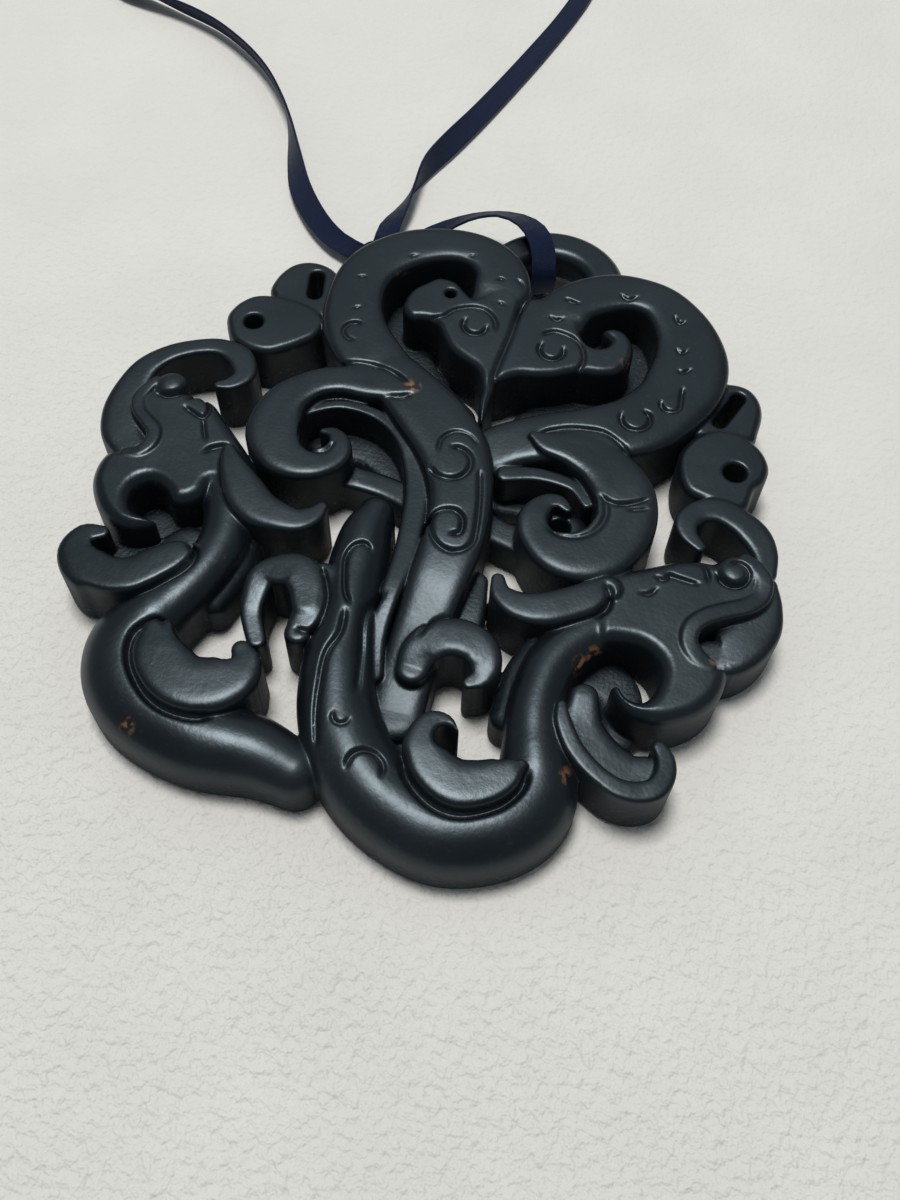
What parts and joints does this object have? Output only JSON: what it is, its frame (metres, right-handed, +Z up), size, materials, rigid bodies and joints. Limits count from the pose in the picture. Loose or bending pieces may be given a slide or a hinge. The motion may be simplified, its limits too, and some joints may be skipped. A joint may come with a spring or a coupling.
{
  "type": "soapstone pendant",
  "caption": "Openwork carved soapstone pendant of two dragons with crossed bodies and heart-curled tails, hung on a narrow satin ribbon.",
  "frame": {"origin": "on the surface it lies on, under the middle of the stone", "axes": "+Z up out of the carved face, +Y towards the hanging ring, +X towards the right-hand dragon"},
  "size_m": [0.1457, 0.1717, 0.008],
  "materials": {
    "stone": "waxed satin, near black with a slight blue-green tint",
    "ribbon": "navy satin weave"
  },
  "bodies": {
    "root": {"stone": "stone", "ribbon_loop": "ribbon", "ribbon_knot": "ribbon", "ribbon_left": "ribbon", "ribbon_right": "ribbon", "ribbon_left_coil": "ribbon", "ribbon_right_coil": "ribbon"}
  },
  "joints": []
}
